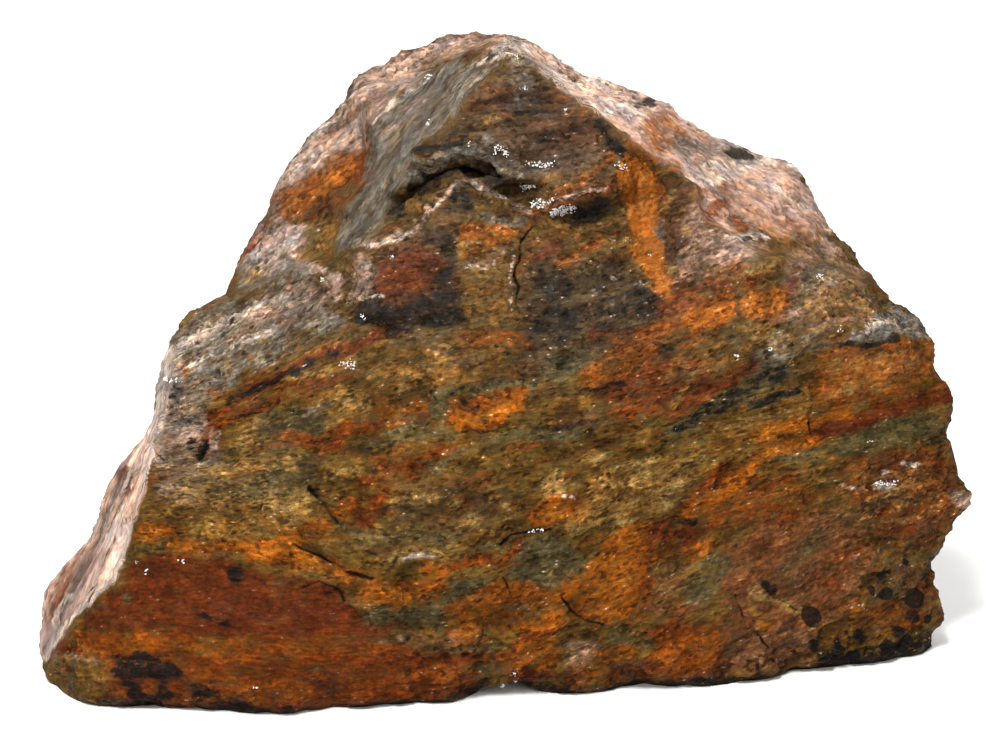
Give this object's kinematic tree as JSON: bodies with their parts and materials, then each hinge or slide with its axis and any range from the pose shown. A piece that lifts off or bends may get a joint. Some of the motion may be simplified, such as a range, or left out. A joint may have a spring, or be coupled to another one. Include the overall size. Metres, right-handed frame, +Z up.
{
  "type": "rough picture jasper",
  "caption": "Broken lump of banded jasper with a broad leaning face, a peaked ridge and an uneven base, standing on its long edge.",
  "frame": {"origin": "centre of the bounding box in X and Y, on the plane that the stone stands on", "axes": "+X runs along the stone's width to the right of its broad face, +Y points away from that face, +Z is up"},
  "size_m": [0.169, 0.0878, 0.11],
  "materials": {
    "jasper": "rough broken stone, dull with small glints"
  },
  "bodies": {
    "root": {"jasper_stone": "jasper"}
  },
  "joints": []
}
